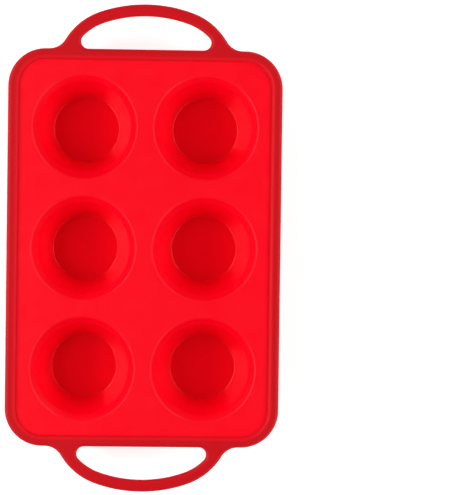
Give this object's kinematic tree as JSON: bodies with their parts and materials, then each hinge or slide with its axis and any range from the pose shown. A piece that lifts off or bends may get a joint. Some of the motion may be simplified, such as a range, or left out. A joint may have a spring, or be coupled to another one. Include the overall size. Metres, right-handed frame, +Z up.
{
  "type": "muffin pan",
  "caption": "Rectangular silicone muffin pan with tapered round cups with flared mouths in a flat deck, a raised wire-stiffened rim and an arched loop handle at each end.",
  "frame": {"origin": "under the middle of the pan, on the plane that the six cup floors stand on", "axes": "+Z up out of the cups; Y along the pan from the front handle (-Y) to the rear handle (+Y); X across the pan"},
  "size_m": [0.182, 0.324, 0.0341],
  "materials": {
    "tray_silicone": "satin moulded silicone, bright red",
    "rim_silicone": "satin moulded silicone, deeper red",
    "steel_wire": "drawn stainless steel wire"
  },
  "bodies": {
    "root": {"cup_tray": "tray_silicone", "rim_and_handles": "rim_silicone", "rim_wire": "steel_wire", "handle_wire_front": "steel_wire", "handle_wire_rear": "steel_wire"}
  },
  "joints": []
}
